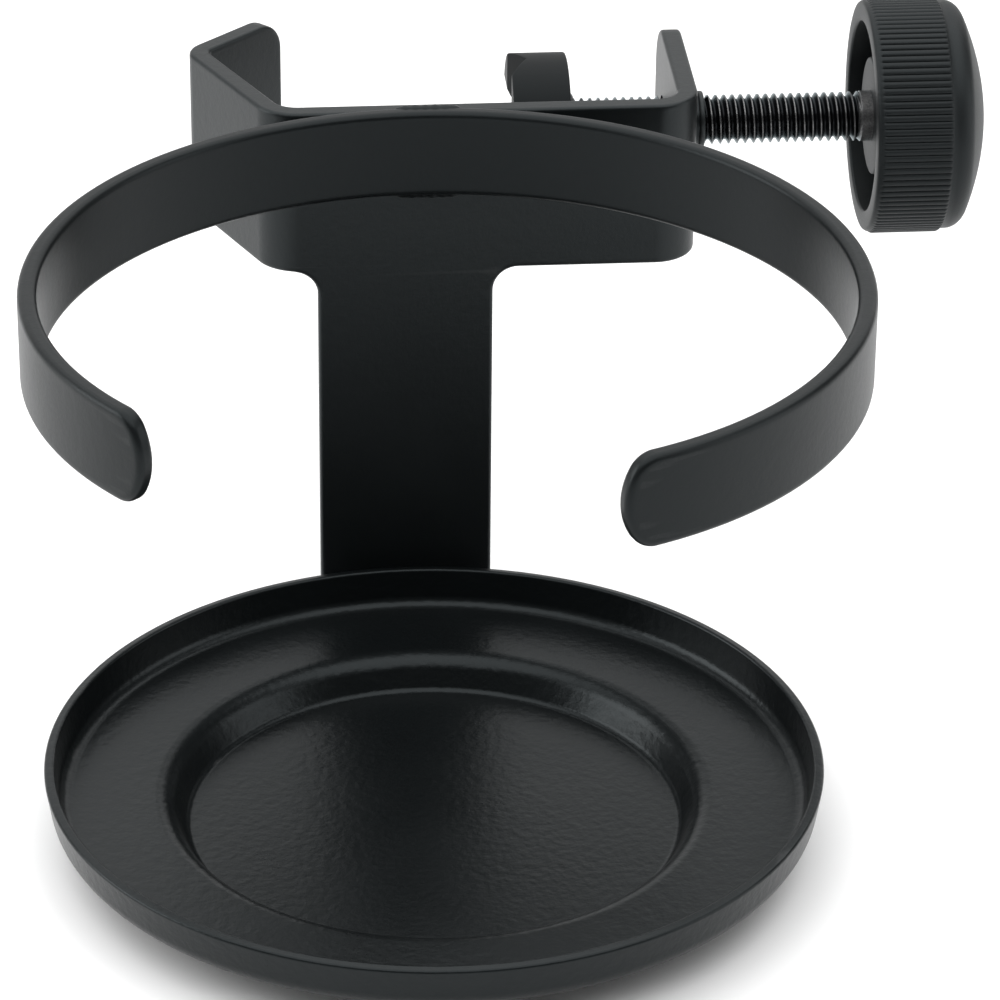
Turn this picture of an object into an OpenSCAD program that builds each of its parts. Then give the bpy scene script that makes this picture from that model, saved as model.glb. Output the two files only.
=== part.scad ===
// Clamp-on drink holder for a round pole: a strip-steel bracket with a V jaw and a
// hand screw, an open ring that steadies the cup and a pressed saucer it stands on.
// Millimetres, +Z up, +X along the screw towards the knob, +Y towards the pole.
// The origin is the centre of the saucer's underside.

/* [Saucer] */
// Outside diameter of the saucer's rim
saucer_d = 87; // [80:0.5:88]
// Height of the saucer from its underside to its rim
saucer_h = 9.5; // [8.5:0.1:12]
// Thickness of the pressed saucer sheet
saucer_sheet = 1.2; // [0.8:0.1:1.4]
// Diameter of the recess at the level of the ledge
recess_d = 60; // [59:0.5:64]
// Diameter of the flat floor of the recess
floor_d = 56; // [48:0.5:57]
// Height of the ledge's top face above the saucer's underside
ledge_z = 5; // [4.6:0.1:5.6]

/* [Cup ring] */
// Outside diameter of the ring
ring_d = 91; // [89:0.5:94]
// Height of the ring's flat bar
ring_h = 10.4; // [8:0.2:14]
// Thickness of the ring's flat bar
ring_t = 2.1; // [1.6:0.1:3]
// Height of the ring's top edge above the saucer's underside
ring_top_z = 68.2; // [67.6:0.1:70]
// Sideways offset of the ring from the saucer's centre
ring_x = 1.3; // [0:0.1:3]
// Direction of the middle of the ring's open front
gap_angle = 256.3; // [250:0.1:275]
// Angle from tip to tip across the open front
gap_width = 65.4; // [50:0.1:80]

/* [Bracket] */
// Thickness of the bracket's strip steel
strip_t = 2.4; // [2:0.1:3]
// Height of the bracket's strip
strip_h = 20; // [18:0.5:22]
// Height of the strip's top edge above the saucer's underside
strip_top_z = 67.5; // [66:0.5:69]
// Width of the stem that carries the saucer
stem_w = 20.4; // [16:0.2:22]
// Length of the foot under the saucer's ledge
foot_l = 13; // [10:0.5:14]
// Distance of the flange's inner face from the saucer's centre
flange_x = 31.3; // [30:0.1:33]
// Depth of the flange behind the back strip's inner face
flange_l = 24.6; // [23:0.2:27]

/* [Clamp screw] */
// Thread diameter
screw_d = 5.9; // [5.8:0.05:6]
// Radial clearance of the thread in the flange's tapped neck
screw_gap = 0.07; // [0.03:0.01:0.1]
// Distance of the screw's shoulder from the saucer's centre
shoulder_x = 20.7; // [18:0.1:24]
// Diameter of the pressure pad
pad_d = 16.9; // [14:0.1:19]
// Length of the pressure pad's cylinder
pad_l = 6.8; // [6.6:0.1:9]
// Depth of the pad's crossed V grooves
groove_depth = 1.9; // [1:0.1:2]

/* [Knob] */
// Outside diameter of the knob
knob_d = 28; // [25:0.5:32]
// Length of the knob
knob_l = 14.3; // [14:0.1:18]
// Distance of the knob's open edge from the saucer's centre
knob_x = 55.2; // [54.8:0.1:57]
// Inside diameter of the knob's open end
knob_bore_d = 22.6; // [20:0.2:23]
// Diameter of the knob's hub
hub_d = 14; // [13:0.2:16]

/* [Hidden] */
$fn = 96;
saucer_r = saucer_d / 2;
rim_lean = 0.8;
rim_drop = 0.1;
saucer_profile = [
    [0, saucer_sheet / 2],
    [floor_d / 2, saucer_sheet / 2],
    [recess_d / 2, ledge_z - saucer_sheet / 2],
    [saucer_r - rim_lean - saucer_sheet / 2, ledge_z - saucer_sheet / 2],
    [saucer_r - saucer_sheet / 2, saucer_h - rim_drop]
];
saucer_rounds = [0, 1.6, 2.2, 2, 0];

ring_r = ring_d / 2;
ring_z = ring_top_z - ring_h;
bar_edge = 0.7;
// Each tip of the bar ends in a wide arc between two corner arcs, tip_l long together;
// its outline stands a little proud of the bar, so that no faces coincide where they meet
tip_over = 0.01;
tip_end_r = 0.69 * ring_h;
tip_corner_r = 0.3 * ring_h;
tip_rise = ring_h / 2 + tip_over - tip_corner_r;
tip_run = sqrt(pow(tip_end_r - tip_corner_r, 2) - pow(tip_rise, 2));
tip_l = tip_end_r - tip_run;
tip_angle = gap_width / 2 + asin(tip_l / ring_r);

web_y = ring_r + strip_t;
strip_z = strip_top_z - strip_h;
axis_y = web_y + 16.1;
axis_z = strip_z + strip_h / 2;
// Inner face of the strip, seen from above, from the flange's end to the V jaw's end
strip_path = [
    [flange_x, web_y + flange_l],
    [flange_x, web_y],
    [-14.4, web_y],
    [-22.5, web_y + 17],
    [-13.5, web_y + 26]
];
strip_bends = [0, 2.6, 3, 1, 0];
// Small overlap that fuses the pieces of the stem and foot
lap = 0.02;
end_round = 5.5;
jaw_round = 3.5;
stem_x = -0.4;
stem_fillet = 3;
foot_z = ledge_z - saucer_sheet - strip_t;
foot_bend = 1.5;

bore_r = screw_d / 2 + screw_gap;
neck_r = 3.15;
neck_l = 1.75;
lip_r = 3.45;
lip_l = 0.65;
hub_depth = 1;
head_x = knob_x + 5;
head_af = 10;
head_l = 4;
shank_l = 1.3;
shank_r = 3;
pad_cone_l = 0.8;
play = 0.1;
pad_x = shoulder_x - play - pad_l - pad_cone_l;
groove_half = 3.2;
tip_r = 2;
tip_bore_r = 2.2;
well_r = 3.6;
well_l = 4;
washer_r = 3.3;
washer_bore_r = 2.08;
washer_t = 0.6;
peen_r = 2.7;
peen_l = 0.8;
knob_floor = 11;
knob_lip = 0.8;
rib_h = 0.37;
rib_end = 8.8;
shoulder_r = 2.2;
shoulder_turn = 65;
dome_h = 2.74;

function unit(v) = v / norm(v);
function turn(u, v) = atan2(u.x * v.y - u.y * v.x, u.x * v.x + u.y * v.y);
function spin(v, a) = [v.x * cos(a) - v.y * sin(a), v.x * sin(a) + v.y * cos(a)];

// Points of one rounded corner on a line held at distance d to the left of the path
function corner(a, b, c, r, d, steps) =
    let (u = unit(b - a), bend = turn(u, c - b), s = sign(bend), n = [-u.y, u.x])
    let (centre = b - u * r * tan(abs(bend) / 2) + s * n * r)
    [for (i = [0 : steps]) centre - s * (r - s * d) * spin(n, bend * i / steps)];

// Points of a whole path held at distance d to its left
function beside(p, r, d, steps) =
    let (last = len(p) - 1, u = unit(p[1] - p[0]), v = unit(p[last] - p[last - 1]))
    concat(
        [p[0] + d * [-u.y, u.x]],
        [for (i = [1 : last - 1]) each corner(p[i - 1], p[i], p[i + 1], r[i], d, steps)],
        [p[last] + d * [-v.y, v.x]]
    );

function reversed(v) = [for (i = [len(v) - 1 : -1 : 0]) v[i]];

// Outline of a sheet that lies between distances d0 and d1 to the left of a path
module sheet_outline(p, r, d0, d1, steps) {
    polygon(concat(beside(p, r, d0, steps), reversed(beside(p, r, d1, steps))));
}

// Section of the ring's flat bar with rounded edges
module bar_section() {
    x0 = ring_r - ring_t;
    translate([x0, ring_z + bar_edge]) square([ring_t, ring_h - 2 * bar_edge]);
    translate([x0 + bar_edge, ring_z]) square([ring_t - 2 * bar_edge, ring_h]);
    for (x = [x0 + bar_edge, ring_r - bar_edge], z = [ring_z + bar_edge, ring_top_z - bar_edge])
        translate([x, z]) circle(r = bar_edge, $fn = 24);
}

// Outline of the bar's rounded tip, pointing along -X from the line where it begins
module tip_outline() {
    fan = atan2(tip_rise, tip_run);
    upper = concat(
        [for (a = [0 : fan / 6 : fan]) [tip_run - tip_end_r * cos(a), tip_end_r * sin(a)]],
        [for (i = [1 : 8])
            let (a = fan + (90 - fan) * i / 8)
            [-tip_corner_r * cos(a), tip_rise + tip_corner_r * sin(a)]]
    );
    lower = [for (i = [len(upper) - 1 : -1 : 1]) [upper[i].x, -upper[i].y]];
    half = ring_h / 2 + tip_over;
    polygon(concat(upper, [[2, half], [2, -half]], lower));
}

// Open front of the ring, with the bar's rounded tips standing into it
module ring_mouth() {
    reach = 2 * ring_r;
    half = reach * tan(tip_angle + 0.5);
    difference() {
        translate([0, 0, ring_z - 1]) linear_extrude(ring_h + 2)
            polygon([[0, 0], [reach, -half], [reach, half]]);
        for (side = [-1, 1]) rotate([0, 0, side * tip_angle])
            translate([ring_r - 8, 0, ring_z + ring_h / 2]) rotate([side < 0 ? 180 : 0, 0, 0])
                rotate([90, 0, 90]) linear_extrude(16) tip_outline();
    }
}

module cup_ring() {
    color("#2a2c2d") translate([ring_x, 0, 0]) difference() {
        rotate_extrude() bar_section();
        rotate([0, 0, gap_angle]) ring_mouth();
    }
}

module saucer() {
    half = saucer_sheet / 2;
    color("#232526") rotate_extrude()
        sheet_outline(saucer_profile, saucer_rounds, -half, half, 6);
}

// Back strip with the V jaw bent at one end and the screw's flange at the other
module strip() {
    translate([0, 0, strip_z]) linear_extrude(strip_h)
        sheet_outline(strip_path, strip_bends, 0, strip_t, 12);
}

// Tool that rounds off both outer corners of a strip's end, which points along +X
module end_cutter(r) {
    for (side = [0, 1]) translate([0, 0, side * strip_h]) mirror([0, 0, side])
        translate([-r, -1, -1]) difference() {
            cube([r + 1, strip_t + 2, r + 1]);
            translate([0, -1, r + 1]) rotate([-90, 0, 0]) cylinder(r = r, h = strip_t + 4);
        }
}

module strip_ends() {
    p = strip_path;
    last = len(p) - 1;
    run = p[last] - p[last - 1];
    translate([p[0].x, p[0].y, strip_z]) rotate([0, 0, 90]) mirror([0, 1, 0])
        end_cutter(end_round);
    translate([p[last].x, p[last].y, strip_z]) rotate([0, 0, atan2(run.y, run.x)])
        end_cutter(jaw_round);
}

// Stem below the back strip, with the fillets where they meet
module stem() {
    low = foot_z + strip_t + foot_bend;
    translate([stem_x - stem_w / 2, ring_r, low - lap])
        cube([stem_w, strip_t, strip_z - low + 2 * lap]);
    for (side = [-1, 1])
        translate([stem_x + side * stem_w / 2, ring_r, strip_z]) difference() {
            translate([side < 0 ? -stem_fillet : 0, 0, -stem_fillet])
                cube([stem_fillet, strip_t, stem_fillet + lap]);
            translate([side * stem_fillet, -1, -stem_fillet]) rotate([-90, 0, 0])
                cylinder(r = stem_fillet, h = strip_t + 2);
        }
}

// Foot bent forward from the stem and lying under the saucer's ledge
module foot() {
    x0 = stem_x - stem_w / 2;
    flat_l = foot_l - foot_bend;
    translate([x0, ring_r - foot_l, foot_z]) cube([stem_w, flat_l + lap, strip_t]);
    translate([x0, ring_r - foot_bend, foot_z + strip_t + foot_bend])
        rotate([0, 90, 0]) rotate_extrude(angle = 90)
            translate([foot_bend, 0]) square([strip_t, stem_w]);
}

// Tapped neck drawn out of the flange around the screw
module flange_neck() {
    translate([flange_x + strip_t, axis_y, axis_z]) rotate([0, 90, 0]) {
        translate([0, 0, -1]) cylinder(r = neck_r, h = neck_l + 1);
        translate([0, 0, neck_l]) cylinder(r = lip_r, h = lip_l);
    }
}

module clamp_bracket() {
    color("#1d1f20") difference() {
        union() {
            strip();
            stem();
            foot();
            flange_neck();
        }
        strip_ends();
        translate([flange_x - 1, axis_y, axis_z]) rotate([0, 90, 0])
            cylinder(r = bore_r, h = strip_t + neck_l + lip_l + 2);
    }
}

// Weld beads above and below the line where the ring touches the back strip
module ring_weld() {
    bead_l = 8;
    bead_r = 1.1;
    bead_x = ring_x + 0.8 - bead_l / 2;
    color("#202223") difference() {
        for (z = [strip_top_z + 0.2, ring_z])
            translate([bead_x, ring_r - 0.3, z]) rotate([0, 90, 0])
                cylinder(r = bead_r, h = bead_l, $fn = 32);
        translate([bead_x - 1, ring_r, 0]) cube([bead_l + 2, strip_t, strip_top_z]);
        translate([ring_x, 0, ring_z]) cylinder(r = ring_r, h = ring_h, $fn = 192);
    }
}

// Fillet welds between the foot's long edges and the underside of the ledge
module saucer_weld() {
    bead_l = 7;
    leg = 1.4;
    color("#202223") for (side = [-1, 1])
        translate([stem_x + side * stem_w / 2, ring_r - foot_l + 1, foot_z + strip_t])
            rotate([-90, 0, 0]) linear_extrude(bead_l)
                polygon([[0, 0], [side * leg, 0], [0, leg]]);
}

module clamp_screw() {
    peen_x = pad_x + well_l - 2 * play - washer_t;
    shank_x = knob_x + hub_depth - shank_l;
    color("#181919") translate([0, axis_y, axis_z]) rotate([0, 90, 0]) {
        translate([0, 0, peen_x - peen_l]) cylinder(r1 = peen_r - 0.5, r2 = peen_r, h = peen_l);
        translate([0, 0, peen_x]) cylinder(r = tip_r, h = shoulder_x - peen_x);
        translate([0, 0, shoulder_x]) cylinder(r1 = screw_d / 2 - 0.5, r2 = screw_d / 2, h = 0.5);
        translate([0, 0, shoulder_x + 0.5])
            cylinder(r = screw_d / 2, h = shank_x - shoulder_x - 0.5);
        translate([0, 0, shank_x]) cylinder(r = shank_r, h = head_x - shank_x);
        translate([0, 0, head_x]) cylinder(d = head_af / cos(30), h = head_l, $fn = 6);
    }
}

// Loose washer between the pad's well and the screw's peened tip
module pad_washer() {
    color("#8a8d90") translate([pad_x + well_l - play - washer_t, axis_y, axis_z])
        rotate([0, 90, 0]) difference() {
            cylinder(r = washer_r, h = washer_t);
            translate([0, 0, -1]) cylinder(r = washer_bore_r, h = washer_t + 2);
        }
}

module pad_groove() {
    half = groove_half * 1.5;
    translate([-groove_depth / 2, 0, -pad_d]) linear_extrude(2 * pad_d)
        polygon([[0, -half], [groove_depth * 1.5, 0], [0, half]]);
}

module pressure_pad() {
    color("#1f2021") translate([pad_x, axis_y, axis_z]) difference() {
        rotate([0, 90, 0]) {
            cylinder(d = pad_d, h = pad_l);
            translate([0, 0, pad_l]) cylinder(r1 = 4.6, r2 = 3.3, h = pad_cone_l);
        }
        for (a = [0, 90]) rotate([a, 0, 0]) pad_groove();
        rotate([0, 90, 0]) {
            translate([0, 0, -1]) cylinder(r = well_r, h = well_l + 1);
            cylinder(r = tip_bore_r, h = pad_l + pad_cone_l + 1);
        }
    }
}

// Half-section of the knob, radius against distance from its open edge
module knob_section() {
    r = knob_d / 2;
    body_r = r - rib_h;
    edge = knob_l - dome_h;
    shoulder_z = edge - shoulder_r * sin(shoulder_turn);
    dome_r = body_r - shoulder_r * (1 - cos(shoulder_turn));
    polygon([
        [0, hub_depth],
        [hub_d / 2, hub_depth],
        [hub_d / 2, knob_floor],
        [knob_bore_d / 2, knob_floor],
        [knob_bore_d / 2, 0],
        [r - knob_lip, 0],
        [r, knob_lip],
        [r, rib_end],
        [body_r, rib_end],
        each [for (a = [0 : shoulder_turn / 5 : shoulder_turn])
            [body_r - shoulder_r * (1 - cos(a)), shoulder_z + shoulder_r * sin(a)]],
        each [for (i = [7 : -1 : 0]) let (t = i / 8) [dome_r * t, edge + dome_h * (1 - t * t)]]
    ]);
}

module knob() {
    color("#1b1c1c") translate([knob_x, axis_y, axis_z]) rotate([0, 90, 0]) difference() {
        rotate_extrude() knob_section();
        translate([0, 0, 1]) cylinder(r = shank_r, h = head_x - knob_x - 1);
        translate([0, 0, head_x - knob_x]) cylinder(d = head_af / cos(30), h = head_l, $fn = 6);
    }
}

clamp_bracket();
cup_ring();
ring_weld();
saucer();
saucer_weld();
clamp_screw();
pressure_pad();
pad_washer();
knob();
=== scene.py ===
"""Looks for the clamp-on drink holder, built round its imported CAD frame."""

import math

import bmesh
import bpy
from mathutils import Matrix, Vector, noise
from mathutils.geometry import tessellate_polygon


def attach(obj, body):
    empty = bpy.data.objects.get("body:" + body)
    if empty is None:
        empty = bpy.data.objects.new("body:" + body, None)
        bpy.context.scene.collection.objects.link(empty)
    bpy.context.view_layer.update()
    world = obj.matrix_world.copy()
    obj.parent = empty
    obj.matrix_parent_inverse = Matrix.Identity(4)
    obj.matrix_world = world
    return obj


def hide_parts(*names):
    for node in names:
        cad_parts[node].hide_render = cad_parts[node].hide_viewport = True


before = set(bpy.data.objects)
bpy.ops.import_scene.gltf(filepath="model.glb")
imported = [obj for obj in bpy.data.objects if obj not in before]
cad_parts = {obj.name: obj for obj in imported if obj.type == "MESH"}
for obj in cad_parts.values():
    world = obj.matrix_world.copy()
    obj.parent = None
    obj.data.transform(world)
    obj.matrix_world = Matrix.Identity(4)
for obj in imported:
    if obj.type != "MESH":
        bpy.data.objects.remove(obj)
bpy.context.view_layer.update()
MM = 0.001

# ---------------------------------------------------------------- sizes, in millimetres, as in the CAD
SAUCER_R, SAUCER_H, SHEET_T = 43.5, 9.5, 1.2
FLOOR_R, RECESS_R, LEDGE_Z, RIM_LEAN = 28.0, 30.0, 5.0, 0.8
RING_R, RING_T, RING_H, RING_TOP, RING_X = 45.5, 2.1, 10.4, 68.2, 1.3
GAP_ANGLE, GAP_WIDTH = 256.3, 65.4
TIP_END_R, TIP_CORNER_R = 0.69 * RING_H, 0.3 * RING_H
STRIP_T, STRIP_H, STRIP_TOP = 2.4, 20.0, 67.5
STRIP_Z = STRIP_TOP - STRIP_H
WEB_Y = RING_R + STRIP_T
STRIP_PATH = [(31.3, WEB_Y + 24.6), (31.3, WEB_Y), (-14.4, WEB_Y), (-22.5, WEB_Y + 17), (-13.5, WEB_Y + 26)]
STRIP_BENDS = [0, 2.6, 3.0, 1.0, 0]
STEM_X, STEM_W, STEM_FILLET = -0.4, 20.4, 3.0
FOOT_L, FOOT_BEND = 13.0, 1.5
FOOT_Z = LEDGE_Z - SHEET_T - STRIP_T
AXIS_Y, AXIS_Z = WEB_Y + 16.1, STRIP_Z + STRIP_H / 2
FLANGE_OUT = STRIP_PATH[0][0] + STRIP_T
BORE_R, NECK_R, NECK_L, LIP_R, LIP_L = 3.02, 3.15, 1.75, 3.45, 0.65
PAD_X, PAD_L, PAD_R, PAD_CONE_L = 13.0, 6.8, 8.45, 0.8
WELL_R, WELL_L, GROOVE_DEPTH, GROOVE_HALF = 3.6, 4.0, 1.9, 3.2
TIP_R, TIP_BORE_R, PEEN_R, PEEN_L, PLAY, WASHER_T = 2.0, 2.2, 2.7, 0.8, 0.1, 0.6
SCREW_R, PITCH, SHOULDER_X = 2.95, 1.0, 20.7
SHANK_R, SHANK_L, HEAD_X, HEAD_L, HEAD_AF = 3.0, 1.3, 60.2, 4.0, 10.0
KNOB_X, KNOB_L, KNOB_R, KNOB_BORE_R, KNOB_FLOOR = 55.2, 14.3, 14.0, 11.3, 11.0
HUB_R, HUB_DEPTH = 7.0, 1.0
RIB_COUNT, RIB_H, RIB_DEPTH, RIB_START, RIB_END = 108, 0.37, 0.22, 0.55, 8.8
SHOULDER_R, SHOULDER_TURN, DOME_H = 2.2, 65.0, 2.74


# ---------------------------------------------------------------- mesh helpers
def make_object(name, bm, body, nodes, material, smooth_angle=None):
    """Turns a bmesh in millimetres into a piece that stands for the named CAD nodes."""
    bmesh.ops.recalc_face_normals(bm, faces=bm.faces)
    bmesh.ops.scale(bm, vec=(MM, MM, MM), verts=bm.verts)
    mesh = bpy.data.meshes.new(name)
    bm.to_mesh(mesh)
    bm.free()
    obj = bpy.data.objects.new(name, mesh)
    bpy.context.scene.collection.objects.link(obj)
    mesh.polygons.foreach_set("use_smooth", [True] * len(mesh.polygons))
    if smooth_angle is not None:
        mesh.set_sharp_from_angle(angle=math.radians(smooth_angle))
    weighted = obj.modifiers.new("weighted normals", "WEIGHTED_NORMAL")
    weighted.keep_sharp = True
    weighted.weight = 90
    mesh.materials.append(material)
    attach(obj, body)
    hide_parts(*nodes)
    return obj


def turned(vector, angle):
    """A plane vector turned anticlockwise by an angle in radians."""
    cos, sin = math.cos(angle), math.sin(angle)
    return Vector((vector.x * cos - vector.y * sin, vector.x * sin + vector.y * cos))


def turn_between(u, v):
    """Signed angle from one plane direction to another."""
    return math.atan2(u.x * v.y - u.y * v.x, u.dot(v))


def rounded_outline(corners, steps=10):
    """Closed outline of (point, inward normal) pairs from anticlockwise (x, y, radius) corners."""
    out = []
    count = len(corners)
    for i, (x, y, r) in enumerate(corners):
        before = Vector(corners[i - 1][:2])
        here = Vector((x, y))
        after = Vector(corners[(i + 1) % count][:2])
        u = (here - before).normalized()
        v = (after - here).normalized()
        turn = turn_between(u, v)
        side = 1.0 if turn > 0 else -1.0
        left = Vector((-u.y, u.x))
        centre = here - u * r * math.tan(abs(turn) / 2) + left * side * r
        for k in range(steps + 1):
            inward = turned(left, turn * k / steps)
            out.append((centre - inward * side * r, inward))
    return out


def flat_slab(outline, thickness, edge, steps=5):
    """Flat plate with rounded edges: x and y as in the outline, z from 0 to its thickness."""
    bm = bmesh.new()
    arcs = [math.pi / 2 * k / steps for k in range(steps + 1)]
    levels = [(edge + 0.3, 0.0)]
    levels += [(edge * (1 - math.sin(a)), edge * (1 - math.cos(a))) for a in arcs]
    levels += [(inset, thickness - depth) for inset, depth in reversed(levels)]
    loops = []
    for inset, z in levels:
        loops.append([bm.verts.new((p.x + n.x * inset, p.y + n.y * inset, z)) for p, n in outline])
    for low, high in zip(loops, loops[1:]):
        for i in range(len(low)):
            j = (i + 1) % len(low)
            bm.faces.new((low[i], low[j], high[j], high[i]))
    for loop in (loops[0], loops[-1]):
        for corners in tessellate_polygon([[v.co for v in loop]]):
            bm.faces.new([loop[i] for i in corners])
    return bm


def cut_across(bm, axis, values):
    """Adds edges where the mesh crosses the planes axis = value, so that it can bend there."""
    normal = [0.0, 0.0, 0.0]
    normal[axis] = 1.0
    for value in values:
        point = [0.0, 0.0, 0.0]
        point[axis] = value
        geometry = bm.verts[:] + bm.edges[:] + bm.faces[:]
        bmesh.ops.bisect_plane(bm, geom=geometry, dist=1e-5, plane_co=point, plane_no=normal)


def arc(cx, cy, r, start, end, steps):
    """Points of an arc in degrees, as (x, y)."""
    angles = [math.radians(start + (end - start) * k / steps) for k in range(steps + 1)]
    return [(cx + r * math.cos(a), cy + r * math.sin(a)) for a in angles]


def lathe(bm, profile, segments, place, radius_of=None):
    """Turns a closed (radius, height) profile round an axis; place(x, y, h) gives the point."""
    rings = []
    for r, h in profile:
        if r < 1e-6:
            rings.append([bm.verts.new(place(0.0, 0.0, h))])
            continue
        ring = []
        for i in range(segments):
            a = 2 * math.pi * i / segments
            rr = radius_of(r, h, a) if radius_of else r
            ring.append(bm.verts.new(place(rr * math.cos(a), rr * math.sin(a), h)))
        rings.append(ring)
    count = len(rings)
    for k in range(count):
        low, high = rings[k], rings[(k + 1) % count]
        if len(low) == 1 and len(high) == 1:
            continue
        for i in range(segments):
            j = (i + 1) % segments
            if len(low) == 1:
                bm.faces.new((low[0], high[j], high[i]))
            elif len(high) == 1:
                bm.faces.new((low[i], low[j], high[0]))
            else:
                bm.faces.new((low[i], low[j], high[j], high[i]))
    return bm


def upright(x, y, h):
    return (x, y, h)


def along_screw(x, y, h):
    """A point of something turned round the screw's axis, with its height measured along +X."""
    return (h, AXIS_Y + y, AXIS_Z + x)


def boolean_cut(obj, cutter):
    """Cuts a closed bmesh shape out of a piece and keeps the result in its mesh."""
    bmesh.ops.recalc_face_normals(cutter, faces=cutter.faces)
    bmesh.ops.scale(cutter, vec=(MM, MM, MM), verts=cutter.verts)
    mesh = bpy.data.meshes.new("cutter")
    cutter.to_mesh(mesh)
    cutter.free()
    tool = bpy.data.objects.new("cutter", mesh)
    bpy.context.scene.collection.objects.link(tool)
    cut = obj.modifiers.new("cut", "BOOLEAN")
    cut.operation = "DIFFERENCE"
    cut.solver = "EXACT"
    cut.object = tool
    graph = bpy.context.evaluated_depsgraph_get()
    result = bpy.data.meshes.new_from_object(obj.evaluated_get(graph))
    obj.modifiers.remove(cut)
    old = obj.data
    obj.data = result
    bpy.data.meshes.remove(old)
    bpy.data.objects.remove(tool)
    bpy.data.meshes.remove(mesh)


# ---------------------------------------------------------------- materials
COAT, COOL_TINT = (0.0032, 0.0040, 0.0043), (0.87, 0.97, 1.0)
OXIDE, PAD_BLACK, KNOB_BLACK = (0.007, 0.007, 0.008), (0.003, 0.0034, 0.0037), (0.0050, 0.0058, 0.0062)
ZINC = (0.42, 0.43, 0.44)
ROUGHNESS_DRIFT = 0.08


def finish(name, colour, roughness, grain, bump, peel=0.0, edge=0.0, specular=0.5, metallic=0.0):
    """A procedural surface: fine grain, slow colour and roughness drift, bump, and sharp edges lightened
    partly as wear and partly as painted highlight.
    """
    mat = bpy.data.materials.new(name)
    mat.use_nodes = True
    nodes, links = mat.node_tree.nodes, mat.node_tree.links
    shader = nodes["Principled BSDF"]
    shader.inputs["Metallic"].default_value = metallic
    shader.inputs["Specular IOR Level"].default_value = specular
    shader.inputs["Specular Tint"].default_value = (*COOL_TINT, 1)
    coords = nodes.new("ShaderNodeTexCoord").outputs["Object"]

    def noise_at(scale, detail, rough=0.5):
        node = nodes.new("ShaderNodeTexNoise")
        node.inputs["Scale"].default_value = scale
        node.inputs["Detail"].default_value = detail
        node.inputs["Roughness"].default_value = rough
        links.new(coords, node.inputs["Vector"])
        return node.outputs["Fac"]

    fine = noise_at(1000.0 / grain, 3.0, 0.6)
    slow = noise_at(70.0, 2.0)
    ramp = nodes.new("ShaderNodeMapRange")
    ramp.inputs["To Min"].default_value = roughness - ROUGHNESS_DRIFT
    ramp.inputs["To Max"].default_value = roughness + ROUGHNESS_DRIFT
    mixed = nodes.new("ShaderNodeMath")
    mixed.operation = "MULTIPLY_ADD"
    mixed.inputs[1].default_value = 0.5
    links.new(fine, mixed.inputs[0])
    half = nodes.new("ShaderNodeMath")
    half.operation = "MULTIPLY"
    half.inputs[1].default_value = 0.5
    links.new(slow, half.inputs[0])
    links.new(half.outputs[0], mixed.inputs[2])
    links.new(mixed.outputs[0], ramp.inputs["Value"])
    links.new(ramp.outputs["Result"], shader.inputs["Roughness"])

    dark = nodes.new("ShaderNodeMix")
    dark.data_type = "RGBA"
    dark.inputs["A"].default_value = (*[c * 0.8 for c in colour], 1)
    dark.inputs["B"].default_value = (*[c * 1.25 for c in colour], 1)
    links.new(slow, dark.inputs["Factor"])
    # edge lightens sharp edges by pointiness: partly wear of a thinner coat, partly a painted highlight
    # along edges and thread crests
    edge_wear_and_highlight = nodes.new("ShaderNodeMix")
    edge_wear_and_highlight.data_type = "RGBA"
    edge_wear_and_highlight.inputs["B"].default_value = (*[min(1.0, c + edge) for c in colour], 1)
    pointed = nodes.new("ShaderNodeMapRange")
    pointed.inputs["From Min"].default_value = 0.53
    pointed.inputs["From Max"].default_value = 0.62
    links.new(nodes.new("ShaderNodeNewGeometry").outputs["Pointiness"], pointed.inputs["Value"])
    edge_wear_and_highlight_mask = nodes.new("ShaderNodeMath")
    edge_wear_and_highlight_mask.operation = "MULTIPLY"
    links.new(pointed.outputs["Result"], edge_wear_and_highlight_mask.inputs[0])
    links.new(fine, edge_wear_and_highlight_mask.inputs[1])
    links.new(edge_wear_and_highlight_mask.outputs[0], edge_wear_and_highlight.inputs["Factor"])
    links.new(dark.outputs["Result"], edge_wear_and_highlight.inputs["A"])
    links.new(edge_wear_and_highlight.outputs["Result"], shader.inputs["Base Color"])

    grain_bump = nodes.new("ShaderNodeBump")
    grain_bump.inputs["Strength"].default_value = bump
    grain_bump.inputs["Distance"].default_value = 0.00005
    links.new(fine, grain_bump.inputs["Height"])
    last = grain_bump
    if peel:
        peel_bump = nodes.new("ShaderNodeBump")
        peel_bump.inputs["Strength"].default_value = peel
        peel_bump.inputs["Distance"].default_value = 0.0002
        links.new(noise_at(900.0, 1.0), peel_bump.inputs["Height"])
        links.new(grain_bump.outputs["Normal"], peel_bump.inputs["Normal"])
        last = peel_bump
    links.new(last.outputs["Normal"], shader.inputs["Normal"])
    return mat


# the seventh argument is the edge lightening, part wear and part painted highlight; on the screw it is
# mostly painted bright crest lines
paint_bracket = finish("bracket_powder_coat", COAT, 0.40, 0.35, 0.30, 0.10, 0.020, 0.34)
paint_ring = finish("ring_powder_coat", COAT, 0.38, 0.35, 0.18, 0.08, 0.012, 0.22)
paint_saucer = finish("saucer_powder_coat", COAT, 0.30, 0.30, 0.35, 0.24, 0.025, 0.24)
black_oxide = finish("screw_black_oxide", OXIDE, 0.28, 0.20, 0.30, 0.0, 0.55, 0.3, 0.7)
pad_plastic = finish("pad_moulded_plastic", PAD_BLACK, 0.50, 0.25, 0.15, 0.0, 0.012, 0.16)
knob_plastic = finish("knob_moulded_plastic", KNOB_BLACK, 0.50, 0.25, 0.40, 0.0, 0.010, 0.27)
zinc = finish("washer_zinc", ZINC, 0.35, 0.20, 0.2, 0.0, 0.05, 0.5, 0.9)


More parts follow.
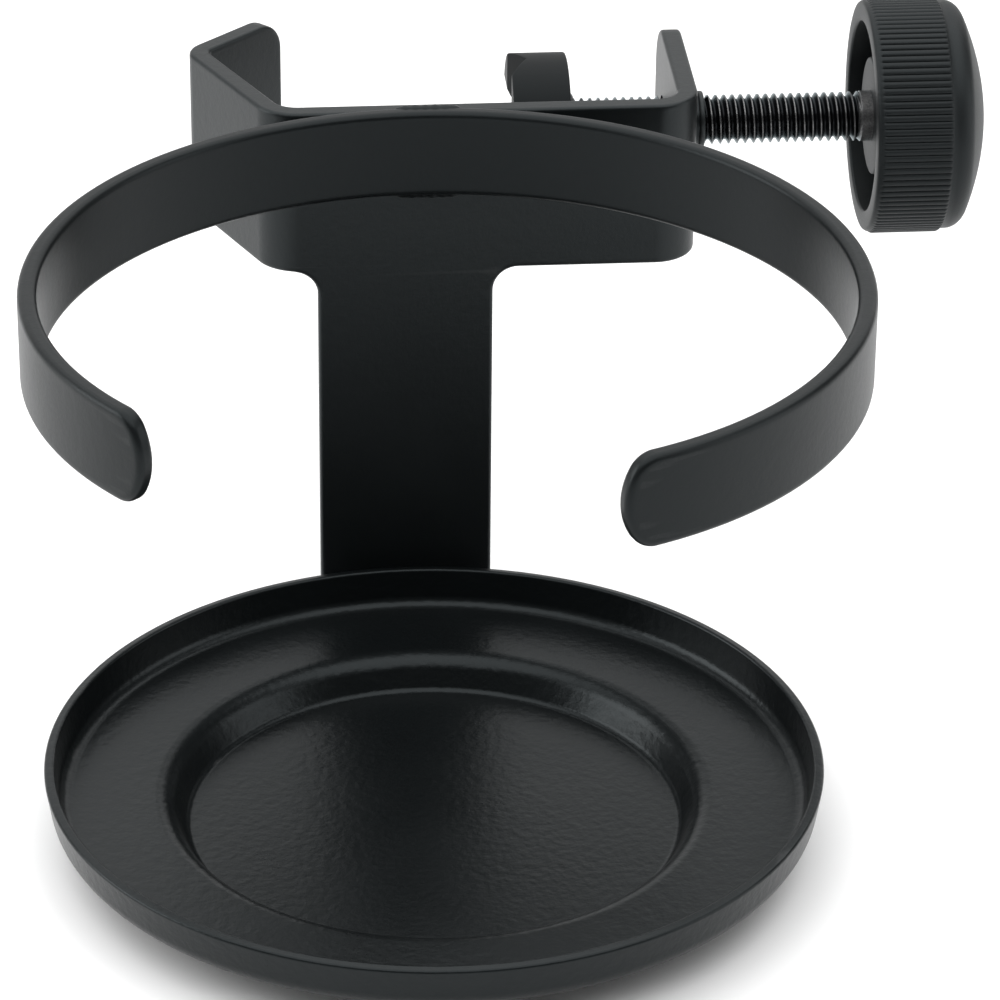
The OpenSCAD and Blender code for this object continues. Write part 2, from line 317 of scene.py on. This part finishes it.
# ---------------------------------------------------------------- saucer
def sheet_side(path, rounds, offset, steps):
    """Points beside a polyline with rounded corners, offset to its left."""
    pts = [Vector(p) for p in path]
    u = (pts[1] - pts[0]).normalized()
    out = [pts[0] + Vector((-u.y, u.x)) * offset]
    for i in range(1, len(pts) - 1):
        u = (pts[i] - pts[i - 1]).normalized()
        v = (pts[i + 1] - pts[i]).normalized()
        turn = turn_between(u, v)
        side = 1.0 if turn > 0 else -1.0
        left = Vector((-u.y, u.x))
        r = rounds[i]
        centre = pts[i] - u * r * math.tan(abs(turn) / 2) + left * side * r
        for k in range(steps + 1):
            normal = turned(left, turn * k / steps)
            out.append(centre - normal * side * (r - side * offset))
    v = (pts[-1] - pts[-2]).normalized()
    out.append(pts[-1] + Vector((-v.y, v.x)) * offset)
    return out


def build_saucer():
    half = SHEET_T / 2
    path = [
        (0, half),
        (FLOOR_R, half),
        (RECESS_R, LEDGE_Z - half),
        (SAUCER_R - RIM_LEAN - half, LEDGE_Z - half),
        (SAUCER_R - half, SAUCER_H - 0.1),
    ]
    rounds = [0, 1.6, 2.2, 2.0, 0]
    lower = sheet_side(path, rounds, -half, 10)
    upper = sheet_side(path, rounds, half, 10)
    # the rim's cut edge is slightly rounded
    up = (Vector(path[-1]) - Vector(path[-2])).normalized()
    side = Vector((up.y, -up.x))
    edge = 0.35
    tip = []
    for k in range(7):
        a = math.pi / 2 * k / 6
        tip.append(lower[-1] - side * edge * (1 - math.cos(a)) - up * edge * (1 - math.sin(a)))
    for k in range(7):
        a = math.pi / 2 * k / 6
        tip.append(upper[-1] + side * edge * (1 - math.sin(a)) - up * edge * (1 - math.cos(a)))

    def filled(points):
        out = [points[0]]
        for p in points[1:]:
            steps = max(1, int((p - out[-1]).length / 1.5))
            start = out[-1]
            out += [start.lerp(p, k / steps) for k in range(1, steps + 1)]
        return out

    profile = filled(lower[:-1]) + tip + list(reversed(filled(upper[:-1])))
    bm = lathe(bmesh.new(), [(p.x, p.y) for p in profile], 240, upright)
    make_object("saucer_dish", bm, "holder", ["saucer"], paint_saucer, 50)


# ---------------------------------------------------------------- cup ring
def bar_outline(length, low, high):
    """Outline of the ring's bar laid flat: each tip is a wide arc between two corner arcs."""
    rise = RING_H / 2 - TIP_CORNER_R
    run = math.sqrt((TIP_END_R - TIP_CORNER_R) ** 2 - rise ** 2)
    fan = math.atan2(rise, run)
    near, far, middle = TIP_END_R - run, length - TIP_END_R + run, (low + high) / 2
    turn = math.pi / 2
    arcs = [
        (far, low + TIP_CORNER_R, TIP_CORNER_R, -turn, -fan),
        (length - TIP_END_R, middle, TIP_END_R, -fan, fan),
        (far, high - TIP_CORNER_R, TIP_CORNER_R, fan, turn),
        (near, high - TIP_CORNER_R, TIP_CORNER_R, turn, 2 * turn - fan),
        (TIP_END_R, middle, TIP_END_R, 2 * turn - fan, 2 * turn + fan),
        (near, low + TIP_CORNER_R, TIP_CORNER_R, 2 * turn + fan, 3 * turn),
    ]
    out = []
    for x, y, r, a0, a1 in arcs:
        for k in range(12):
            a = a0 + (a1 - a0) * (k + 0.5) / 12
            outward = Vector((math.cos(a), math.sin(a)))
            out.append((Vector((x, y)) + outward * r, -outward))
    return out


def build_ring():
    span = math.radians(360 - GAP_WIDTH)
    start = math.radians(GAP_ANGLE + GAP_WIDTH / 2)
    length = RING_R * span
    bm = flat_slab(bar_outline(length, RING_TOP - RING_H, RING_TOP), RING_T, 0.75, 6)
    count = 150
    cut_across(bm, 0, [length * k / count for k in range(1, count)])
    for v in bm.verts:
        angle = start + v.co.x / RING_R
        r = RING_R - v.co.z
        v.co = Vector((RING_X + r * math.cos(angle), r * math.sin(angle), v.co.y))
    make_object("ring_bar", bm, "holder", ["cup_ring"], paint_ring, 50)


# ---------------------------------------------------------------- bracket
def strip_runs():
    """The strip's inner face from above, as straight and bent runs with their lengths."""
    pts = [Vector(p) for p in STRIP_PATH]
    runs = []
    at = pts[0].copy()
    for i in range(1, len(pts)):
        u = (pts[i] - pts[i - 1]).normalized()
        if i < len(pts) - 1:
            v = (pts[i + 1] - pts[i]).normalized()
            turn = turn_between(u, v)
            r = STRIP_BENDS[i]
            end = pts[i] - u * r * math.tan(abs(turn) / 2)
        else:
            turn, r, end = 0.0, 0.0, pts[i]
        runs.append((at.copy(), u, (end - at).length, 0.0, 0.0))
        if turn:
            runs.append((end, u, abs(turn) * (r + STRIP_T / 2), r, turn))
            n = Vector((u.y, -u.x))
            centre = end + n * r
            at = centre + turned(-n * r, turn)
    return runs


def on_strip(runs, s, t):
    """The place in plan at length s along the strip and t outward from its inner face."""
    for at, u, length, r, turn in runs:
        if s <= length or (at, u, length, r, turn) == runs[-1]:
            outward = Vector((-u.y, u.x))
            if not turn:
                return at + u * s + outward * t
            return at - outward * r + turned(outward * (r + t), turn * s / length)
        s -= length


def build_bracket():
    runs = strip_runs()
    total = sum(run[2] for run in runs)
    web_start = runs[0][2] + runs[1][2]
    web_x = runs[2][0].x
    s_right = web_start + web_x - (STEM_X + STEM_W / 2)
    s_left = s_right + STEM_W
    bend_z = FOOT_Z + STRIP_T + FOOT_BEND
    bend_l = (FOOT_BEND + STRIP_T / 2) * math.pi / 2
    foot_end = bend_z - bend_l - (FOOT_L - FOOT_BEND)
    top, low = STRIP_TOP, STRIP_Z
    corners = [
        (0, low, 5.5), (s_right, low, STEM_FILLET), (s_right, foot_end, 2.5), (s_left, foot_end, 2.5),
        (s_left, low, STEM_FILLET), (total, low, 3.5), (total, top, 3.5), (0, top, 5.5),
    ]
    bm = flat_slab(rounded_outline(corners, 10), STRIP_T, 0.45, 4)
    stations = []
    s = 0.0
    for _, _, length, _, turn in runs:
        steps = max(2, int(abs(math.degrees(turn)) / 5)) if turn else 2
        stations += [s + length * k / steps for k in range(steps)]
        s += length
    cut_across(bm, 0, stations[1:])
    cut_across(bm, 1, [bend_z - bend_l * k / 14 for k in range(15)])
    for v in bm.verts:
        s, height, t = v.co
        if height >= bend_z:
            p = on_strip(runs, s, t)
            v.co = Vector((p.x, p.y, height))
            continue
        x = on_strip(runs, s, t).x
        past = bend_z - height
        rho = FOOT_BEND + STRIP_T - t
        a = min(past / bend_l, 1.0) * math.pi / 2
        flat = max(0.0, past - bend_l)
        v.co = Vector((x, RING_R - FOOT_BEND + rho * math.cos(a) - flat, bend_z - rho * math.sin(a)))
    bracket = make_object(
        "bracket_strip", bm, "holder", ["clamp_bracket"], paint_bracket, 50)
    near, far = FLANGE_OUT - STRIP_T - 2, FLANGE_OUT + 0.5
    bore = [(0, near), (BORE_R, near), (BORE_R, far), (0, far)]
    boolean_cut(bracket, lathe(bmesh.new(), bore, 64, along_screw))


def build_neck():
    """The collar drawn out of the flange round the screw, with a thin lip at its end."""
    root, end = FLANGE_OUT - 0.6, FLANGE_OUT + NECK_L
    profile = [(BORE_R, root), (NECK_R, root), (NECK_R, end), (LIP_R - 0.08, end)]
    profile += [(LIP_R, end + 0.1), (LIP_R, end + LIP_L - 0.15), (LIP_R - 0.1, end + LIP_L - 0.01)]
    profile += [(BORE_R + 0.03, end + LIP_L), (BORE_R, end + LIP_L - 0.05)]
    bm = lathe(bmesh.new(), profile, 64, along_screw)
    make_object(
        "bracket_tapped_neck", bm, "holder", ["clamp_bracket"], paint_bracket, 40)


# ---------------------------------------------------------------- welds
def weld_bead(bm, start, end, radius, wobble, seed):
    """A slightly lumpy run of weld from start to end with tapered ends."""
    steps, around = 48, 16
    axis = (end - start).normalized()
    side = axis.cross(Vector((0, 0, 1))).normalized()
    up = side.cross(axis)
    rings = []
    for i in range(steps + 1):
        f = i / steps
        taper = math.sqrt(max(0.0, 1 - abs(2 * f - 1) ** 6))
        ripple = 1 + wobble * math.sin(f * math.pi * 14 + seed)
        centre = start.lerp(end, f)
        ring = []
        for k in range(around):
            a = 2 * math.pi * k / around
            lump = 1 + wobble * noise.noise(Vector((f * 9 + seed, math.cos(a), math.sin(a))))
            r = max(0.02, radius * taper * ripple * lump)
            ring.append(bm.verts.new(centre + side * r * math.cos(a) + up * r * math.sin(a)))
        rings.append(ring)
    for low, high in zip(rings, rings[1:]):
        for k in range(around):
            j = (k + 1) % around
            bm.faces.new((low[k], low[j], high[j], high[k]))
    bm.faces.new(rings[0])
    bm.faces.new(rings[-1])


def build_welds():
    bm = bmesh.new()
    x, y = RING_X + 0.8, RING_R - 0.3
    for z, seed in ((STRIP_TOP + 0.05, 0.0), (RING_TOP - RING_H, 2.0)):
        weld_bead(bm, Vector((x - 4, y, z)), Vector((x + 4, y, z)), 0.85, 0.05, seed)
    make_object("ring_weld_beads", bm, "holder", ["ring_weld"], paint_ring)
    bm = bmesh.new()
    for side in (-1, 1):
        x = STEM_X + side * (STEM_W / 2 + 0.2)
        y = RING_R - FOOT_L + 1.2
        z = FOOT_Z + STRIP_T - 0.2
        weld_bead(bm, Vector((x, y, z)), Vector((x, y + 6.6, z)), 0.75, 0.06, side)
    make_object("saucer_weld_beads", bm, "holder", ["saucer_weld"], paint_saucer)


# ---------------------------------------------------------------- screw
def thread_radius(f):
    """Radius of a metric thread at fraction f of its pitch, with a flat crest and a rounded root."""
    crest, flank, depth = 0.11, 0.35, 0.60 * PITCH
    f = abs(((f + 0.5) % 1.0) - 0.5) * 2
    if f < crest:
        return SCREW_R
    if f > crest + 2 * flank:
        f = crest + 2 * flank
    drop = (f - crest) / (2 * flank)
    return SCREW_R - depth * (drop - 0.12 * max(0.0, drop - 0.85) * 4)


def build_screw():
    bm = bmesh.new()
    around = 56
    fractions = [-0.0625, 0.0625, 0.14, 0.25, 0.36, 0.43, 0.5, 0.57, 0.64, 0.75, 0.86]
    start, end = SHOULDER_X + 0.05, KNOB_X + HUB_DEPTH - SHANK_L
    turns = int((end - start) / PITCH) + 5
    columns = []
    for i in range(around):
        a = 2 * math.pi * i / around
        column = []
        for k in range(turns):
            for f in fractions:
                h = start - 2 * PITCH + (k + f - i / around) * PITCH
                r = thread_radius(f)
                column.append(bm.verts.new(along_screw(r * math.cos(a), r * math.sin(a), h)))
        columns.append(column)
    for i in range(around):
        here, there = columns[i], columns[(i + 1) % around]
        # the last column meets the first one a whole pitch further on
        shift = len(fractions) if i == around - 1 else 0
        for k in range(len(here) - 1 - shift):
            bm.faces.new((here[k + shift], here[k + 1 + shift], there[k + 1], there[k]))
    for at, sign in ((start, -1), (end, 1)):
        geometry = bm.verts[:] + bm.edges[:] + bm.faces[:]
        cut = bmesh.ops.bisect_plane(bm, geom=geometry, dist=1e-6, clear_outer=True,
                                     plane_co=(at, 0, 0), plane_no=(sign, 0, 0))
        rim = [e for e in cut["geom_cut"] if isinstance(e, bmesh.types.BMEdge)]
        bmesh.ops.contextual_create(bm, geom=rim)
    shank = [(0, end - 0.4), (2.6, end - 0.4), (SHANK_R, end)]
    shank += [(SHANK_R, HEAD_X + 0.2), (0, HEAD_X + 0.2)]
    lathe(bm, shank, 64, along_screw)
    head_r, head_end = HEAD_AF / 2 / math.cos(math.pi / 6), HEAD_X + HEAD_L
    head = [(0, HEAD_X), (head_r - 0.5, HEAD_X), (head_r, HEAD_X + 0.3), (head_r, head_end), (0, head_end)]
    lathe(bm, head, 6, along_screw)
    peen = PAD_X + WELL_L - 2 * PLAY - WASHER_T
    tip = [(0, peen - PEEN_L), (1.2, peen - PEEN_L + 0.02), (2.1, peen - PEEN_L + 0.2)]
    tip += [(PEEN_R - 0.1, peen - 0.3), (PEEN_R, peen - 0.1), (PEEN_R - 0.05, peen), (TIP_R, peen)]
    tip += [(TIP_R, SHOULDER_X + 0.3), (0, SHOULDER_X + 0.3)]
    lathe(bm, tip, 48, along_screw)
    make_object("screw_threaded", bm, "screw", ["clamp_screw"], black_oxide, 38)


# ---------------------------------------------------------------- pad
def groove_depth(y, z):
    """Depth of the crossed V grooves at a place on the pad's face, measured from its centre."""
    return GROOVE_DEPTH * max(0.0, 1 - min(abs(y), abs(z)) / GROOVE_HALF)


def grooved_face(bm, radii, count):
    """A flat ring of faces across the screw's axis, pressed in along two crossed grooves."""
    angles = [2 * math.pi * (i + 0.5) / count for i in range(count)]
    loops = [[bm.verts.new((0.0, r * math.cos(a), r * math.sin(a))) for a in angles] for r in radii]
    for near, far in zip(loops, loops[1:]):
        for i in range(count):
            j = (i + 1) % count
            bm.faces.new((near[i], near[j], far[j], far[i]))
    # edges wherever a groove begins, bottoms out or meets the other one
    creases = [(1, 0, away * GROOVE_HALF, PAD_R) for away in (-1, 0, 1)]
    creases += [(0, 1, away * GROOVE_HALF, PAD_R) for away in (-1, 0, 1)]
    creases += [(1, 1, 0, GROOVE_HALF), (1, -1, 0, GROOVE_HALF)]
    for ny, nz, away, reach in creases:
        faces = [f for f in bm.faces
                 if all(max(abs(v.co.y), abs(v.co.z)) < reach + 0.001 for v in f.verts)]
        edges = dict.fromkeys(e for f in faces for e in f.edges)
        verts = dict.fromkeys(v for f in faces for v in f.verts)
        bmesh.ops.bisect_plane(bm, geom=[*verts, *edges, *faces], dist=1e-4,
                               plane_co=(0, ny * away, nz * away), plane_no=(0, ny, nz))
    for v in bm.verts:
        v.co.x = groove_depth(v.co.y, v.co.z)


def drawn_on(bm, rim, r, x=None, step=0.0):
    """Extrudes a rim to radius r at the depth x, or a step deeper than where it is."""
    start = {v: v.co.x for e in rim for v in e.verts}
    made = bmesh.ops.extrude_edge_only(bm, edges=rim)["geom"]
    new_rim = [g for g in made
               if isinstance(g, bmesh.types.BMEdge) and all(v not in start for v in g.verts)]
    for new in dict.fromkeys(v for e in new_rim for v in e.verts):
        old = next(v for e in new.link_edges for v in e.verts if v in start)
        scale = r / math.hypot(new.co.y, new.co.z)
        new.co = Vector((start[old] + step if x is None else x, new.co.y * scale, new.co.z * scale))
    return new_rim


def build_pad():
    bm = bmesh.new()
    face_r = PAD_R - 0.2
    grooved_face(bm, (WELL_R, WELL_R + 0.12, face_r - 0.12, face_r), 144)
    middle = (WELL_R + face_r) / 2
    outer, inner = [], []
    for e in bm.edges:
        if e.is_boundary:
            (outer if math.hypot(*e.verts[0].co.yz) > middle else inner).append(e)
    outer = drawn_on(bm, outer, PAD_R - 0.06, step=0.06)
    outer = drawn_on(bm, outer, PAD_R, step=0.2)
    rear = [(PAD_R, -0.3), (PAD_R - 0.09, -0.09), (PAD_R - 0.3, 0), (4.9, 0), (4.4, 0.12), (3.9, 0.4)]
    for r, past in rear + [(3.3, PAD_CONE_L)]:
        outer = drawn_on(bm, outer, r, PAD_L + past)
    for r, x in [(WELL_R, WELL_L), (TIP_BORE_R, WELL_L), (TIP_BORE_R, PAD_L + PAD_CONE_L)]:
        inner = drawn_on(bm, inner, r, x)
    bmesh.ops.bridge_loops(bm, edges=outer + inner)
    bmesh.ops.translate(bm, vec=(PAD_X, AXIS_Y, AXIS_Z), verts=bm.verts)
    make_object("pad_body", bm, "pad", ["pressure_pad"], pad_plastic, 28)


# ---------------------------------------------------------------- knob
def build_knob():
    band_r, body_r = KNOB_R - RIB_H, KNOB_R - RIB_DEPTH
    turn = math.radians(SHOULDER_TURN)
    edge = KNOB_L - DOME_H
    dome_r = band_r - SHOULDER_R * (1 - math.cos(turn))
    mouth_r = KNOB_BORE_R
    profile = [(0, HUB_DEPTH), (3.3, HUB_DEPTH), (3.35, HUB_DEPTH), (HUB_R - 0.3, HUB_DEPTH)]
    profile += [(HUB_R - 0.08, HUB_DEPTH + 0.08), (HUB_R, HUB_DEPTH + 0.3)]
    profile += [(HUB_R + 0.1, KNOB_FLOOR - 0.5), (HUB_R + 0.5, KNOB_FLOOR)]
    profile += [(mouth_r - 0.6, KNOB_FLOOR), (mouth_r - 0.1, KNOB_FLOOR - 0.5), (mouth_r, 0.3)]
    profile += [(mouth_r + 0.08, 0.08), (mouth_r + 0.3, 0.0)]
    profile += [(body_r - 0.45, 0.0), (body_r - 0.2, 0.08), (body_r - 0.04, 0.3)]
    # the ribs rise over a short ramp, run straight and fall again
    ramp, steps = 0.35, 6
    straight = RIB_END - RIB_START - 2 * ramp
    profile += [(body_r, RIB_START + ramp * k / 3) for k in range(4)]
    profile += [(body_r, RIB_START + ramp + straight * k / steps) for k in range(1, steps + 1)]
    profile += [(body_r, RIB_END - ramp + ramp * k / 4) for k in range(1, 5)]
    profile += [(band_r, RIB_END + 0.12)]
    profile += arc(band_r - SHOULDER_R, edge - SHOULDER_R * math.sin(turn), SHOULDER_R, 0, SHOULDER_TURN, 12)
    profile += [(dome_r * t, edge + DOME_H * (1 - t * t)) for t in [1 - k / 14 for k in range(1, 15)]]

    def ribbed(r, h, a):
        if abs(r - body_r) > 1e-6 or not RIB_START <= h <= RIB_END:
            return r
        rise = min((h - RIB_START) / ramp, (RIB_END - h) / ramp, 1.0)
        u = (a * RIB_COUNT / (2 * math.pi)) % 1.0
        crown = math.sqrt(max(0.0, 1 - (2 * u - 1) ** 2))
        return r + RIB_DEPTH * math.sqrt(max(0.0, rise)) * crown

    def placed(x, y, h):
        return along_screw(x, y, KNOB_X + h)

    bm = lathe(bmesh.new(), profile, RIB_COUNT * 8, placed, ribbed)
    make_object("knob_ribbed", bm, "screw", ["knob"], knob_plastic, 60)


build_saucer()
build_ring()
build_bracket()
build_neck()
build_welds()
build_screw()
build_pad()
build_knob()
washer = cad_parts["pad_washer"]
washer.data.materials.clear()
washer.data.materials.append(zinc)


# ---------------------------------------------------------------- floor, light and camera
def plain(name, colour, roughness):
    mat = bpy.data.materials.new(name)
    mat.use_nodes = True
    shader = mat.node_tree.nodes["Principled BSDF"]
    shader.inputs["Base Color"].default_value = (*colour, 1)
    shader.inputs["Roughness"].default_value = roughness
    shader.inputs["Specular IOR Level"].default_value = 0.1
    return mat


def build_floor():
    bm = bmesh.new()
    bmesh.ops.create_grid(bm, x_segments=2, y_segments=2, size=4.0)
    mesh = bpy.data.meshes.new("floor")
    bm.to_mesh(mesh)
    bm.free()
    floor = bpy.data.objects.new("floor", mesh)
    floor.location.z = -0.0002
    mesh.materials.append(plain("floor_pale", (0.93, 0.93, 0.93), 0.9))
    bpy.context.scene.collection.objects.link(floor)


def soft_light(name, place, target, size, power):
    light = bpy.data.lights.new(name, "AREA")
    light.shape = "RECTANGLE"
    light.size, light.size_y = size
    light.energy = power
    obj = bpy.data.objects.new(name, light)
    obj.location = place
    direction = Vector(target) - Vector(place)
    obj.rotation_euler = direction.to_track_quat("-Z", "Y").to_euler()
    bpy.context.scene.collection.objects.link(obj)


def build_camera():
    """A long lens a little left of the object's centre line, looking down on it."""
    yaw, pitch, roll = math.radians(3.790), math.radians(28.203), math.radians(0.125)
    forward = Vector((math.sin(yaw) * math.cos(pitch), math.cos(yaw) * math.cos(pitch), -math.sin(pitch)))
    right = Vector((math.cos(yaw), -math.sin(yaw), 0))
    up = right.cross(forward)
    side = right * math.cos(roll) + up * math.sin(roll)
    top = up * math.cos(roll) - right * math.sin(roll)
    data = bpy.data.cameras.new("camera")
    data.sensor_width = 36.0
    data.lens = 172.36
    data.shift_x = 0.0675
    data.clip_end = 20.0
    camera = bpy.data.objects.new("camera", data)
    matrix = Matrix((side, top, -forward)).transposed().to_4x4()
    matrix.translation = Vector((-30.48, -456.57, 286.94)) * MM
    camera.matrix_world = matrix
    bpy.context.scene.collection.objects.link(camera)
    bpy.context.scene.camera = camera


build_floor()
build_camera()
soft_light("overhead", (0.0, 0.0, 2.6), (0.0, 0.0, 0.0), (5.0, 5.0), 168.0)
soft_light("backdrop", (0.0, 2.8, 1.5), (0.0, 0.0, 0.8), (6.0, 2.4), 45.0)
soft_light("left_softbox", (-1.1, 0.10, 0.45), (0.0, 0.03, 0.05), (0.9, 0.7), 8.0)
soft_light("right_softbox", (1.2, -0.20, 0.40), (0.0, 0.03, 0.05), (0.8, 0.7), 3.4)

world = bpy.data.worlds.new("studio")
world.use_nodes = True
sky = world.node_tree.nodes["Background"]
sky.inputs["Color"].default_value = (1.0, 1.0, 1.0, 1)
sky.inputs["Strength"].default_value = 0.12
bpy.context.scene.world = world
bpy.context.scene.view_settings.view_transform = "Standard"
